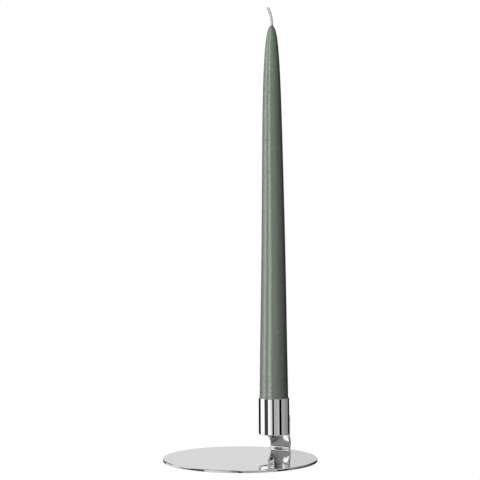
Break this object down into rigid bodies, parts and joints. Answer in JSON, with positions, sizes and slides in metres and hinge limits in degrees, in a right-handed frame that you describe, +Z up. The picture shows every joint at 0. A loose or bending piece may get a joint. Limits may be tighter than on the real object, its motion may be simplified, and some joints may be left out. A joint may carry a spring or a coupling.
{
  "type": "candlestick",
  "caption": "Low polished silver candlestick: a round plate with a bent-up neck and a cylindrical cup that holds a tall tapered dinner candle.",
  "frame": {"origin": "centre of the round plate's underside, where the candlestick rests", "axes": "+Z up along the candle, +Y from the plate's centre towards the neck, +X to the right when the neck is at the back"},
  "size_m": [0.119, 0.1199, 0.3554],
  "materials": {
    "plate_silver": "mirror-polished silver plate",
    "cup_silver": "mirror-polished silver plate",
    "wax": "satin dipped wax, sage green",
    "cotton": "braided cotton with a thin coat of wax"
  },
  "bodies": {
    "holder": {"base_plate": "plate_silver", "candle_cup": "cup_silver"},
    "taper": {"candle": "wax", "wick": "cotton"}
  },
  "joints": [
    {"name": "candle_lift", "type": "slide", "parent": "holder", "child": "taper", "axis": [0, 0, 1], "range_m": [0, 0.06]}
  ]
}
